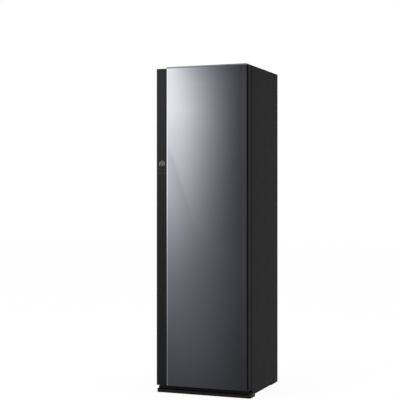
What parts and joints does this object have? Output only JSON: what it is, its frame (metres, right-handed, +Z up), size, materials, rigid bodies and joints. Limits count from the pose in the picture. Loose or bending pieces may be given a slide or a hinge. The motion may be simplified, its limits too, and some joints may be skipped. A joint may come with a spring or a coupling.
{
  "type": "clothes care steam cabinet",
  "caption": "Tall free-standing clothes care cabinet with a full-height mirrored door, touch strip, hanging chamber, moving hanger rail, trouser press, shelf, water tanks and steam drying unit.",
  "frame": {"origin": "on the floor, under the middle of the cabinet's bounding box", "axes": "+X to the right as seen from the front, +Y to the back, +Z up; the door faces -Y"},
  "size_m": [0.6, 0.619, 1.965],
  "materials": {
    "casing_black": "satin",
    "galvanised_steel": "satin",
    "hinge_steel": "satin",
    "tinted_mirror": "polished",
    "black_glass": "polished",
    "trim_metal": "satin",
    "black_plastic": "matte",
    "base_bar_plastic": "satin",
    "liner_plastic": "satin",
    "dark_plastic": "satin",
    "insulation_foam": "matte",
    "grey_rubber": "matte",
    "tank_plastic": "gloss",
    "chrome_steel": "polished",
    "copper_tube": "satin",
    "fin_aluminium": "satin",
    "compressor_paint": "satin",
    "circuit_board": "satin",
    "lamp_diffuser": "satin"
  },
  "bodies": {
    "cabinet": {"side_panel_left": "casing_black", "side_panel_right": "casing_black", "top_cover": "casing_black", "rear_cover": "galvanised_steel", "front_frame": "casing_black", "base_pan": "galvanised_steel", "base_bar": "base_bar_plastic", "kick_plate": "black_plastic", "foot_rear_left": "grey_rubber", "foot_rear_right": "grey_rubber", "liner_left": "liner_plastic", "liner_right": "liner_plastic", "liner_back": "liner_plastic", "liner_ceiling": "liner_plastic", "liner_floor": "liner_plastic", "chamber_insulation": "insulation_foam", "chamber_lamp": "lamp_diffuser", "hinge_bracket_bottom": "hinge_steel", "hinge_bracket_top": "hinge_steel", "hinge_pin_bottom": "hinge_steel", "hinge_pin_top": "hinge_steel", "hinge_cover_top": "black_plastic", "tank_bay": "dark_plastic", "steam_generator": "galvanised_steel", "steam_nozzle": "dark_plastic", "water_pump": "black_plastic", "air_duct": "dark_plastic", "evaporator": "fin_aluminium", "condenser": "fin_aluminium", "blower_housing": "dark_plastic", "blower_motor": "hinge_steel", "floor_grille": "dark_plastic", "compressor": "compressor_paint", "refrigerant_pipe": "copper_tube", "control_box": "dark_plastic", "mains_gland": "black_plastic", "drive_housing": "dark_plastic", "drive_motor": "hinge_steel"},
    "door": {"mirror_glass": "tinted_mirror", "mirror_top_trim": "trim_metal", "control_glass": "black_glass", "door_carrier": "black_plastic", "display_board": "circuit_board", "door_frame": "casing_black", "door_liner": "liner_plastic", "door_gasket": "grey_rubber", "press_base": "dark_plastic"},
    "press_plate": {"press_plate": "liner_plastic"},
    "supply_tank": {"supply_tank": "tank_plastic", "supply_tank_lid": "dark_plastic"},
    "drain_tank": {"drain_tank": "tank_plastic", "drain_tank_lid": "dark_plastic"},
    "lint_filter": {"lint_filter": "dark_plastic"},
    "shelf": {"shelf": "chrome_steel"},
    "blower_wheel": {"blower_wheel": "dark_plastic"},
    "hanger_carriage": {"hanger_carriage": "dark_plastic", "hanger_rail": "chrome_steel"},
    "crank": {"crank": "chrome_steel"},
    "hanger_left": {"hanger_left": "dark_plastic"},
    "hanger_right": {"hanger_right": "dark_plastic"}
  },
  "joints": [
    {"name": "door_hinge", "type": "hinge", "parent": "cabinet", "child": "door", "pos_m": [0.2695, -0.2615, 0.05], "axis": [0, 0, 1], "range_deg": [0, 110]},
    {"name": "press_hinge", "type": "hinge", "parent": "door", "child": "press_plate", "pos_m": [-0.202, -0.1909, 0.72], "axis": [0, 0, 1], "range_deg": [0, 80]},
    {"name": "supply_tank_slide", "type": "slide", "parent": "cabinet", "child": "supply_tank", "axis": [0, -1, 0], "range_m": [0, 0.09]},
    {"name": "drain_tank_slide", "type": "slide", "parent": "cabinet", "child": "drain_tank", "axis": [0, -1, 0], "range_m": [0, 0.09]},
    {"name": "lint_filter_lift", "type": "slide", "parent": "cabinet", "child": "lint_filter", "axis": [0, 0, 1], "range_m": [0, 0.08]},
    {"name": "shelf_slide", "type": "slide", "parent": "cabinet", "child": "shelf", "axis": [0, -1, 0], "range_m": [0, 0.04]},
    {"name": "blower_spin", "type": "hinge", "parent": "cabinet", "child": "blower_wheel", "pos_m": [0, 0.22268, 0.322], "axis": [0, 1, 0], "continuous": true},
    {"name": "hanger_drive_slide", "type": "slide", "parent": "cabinet", "child": "hanger_carriage", "axis": [1, 0, 0], "range_m": [-0.0113, 0.0113]},
    {"name": "crank_turn", "type": "hinge", "parent": "cabinet", "child": "crank", "pos_m": [0, 0.0355, 1.86], "axis": [0, 0, 1], "range_deg": [-61, 61]},
    {"name": "hanger_left_swing", "type": "hinge", "parent": "hanger_carriage", "child": "hanger_left", "pos_m": [-0.085, 0.0355, 1.8], "axis": [1, 0, 0], "range_deg": [-15, 15]},
    {"name": "hanger_right_swing", "type": "hinge", "parent": "hanger_carriage", "child": "hanger_right", "pos_m": [0.085, 0.0355, 1.8], "axis": [1, 0, 0], "range_deg": [-15, 15]}
  ],
  "couplings": [
    {"joint": "crank_turn", "follows": "hanger_drive_slide", "rad_per_m": -93.02}
  ]
}
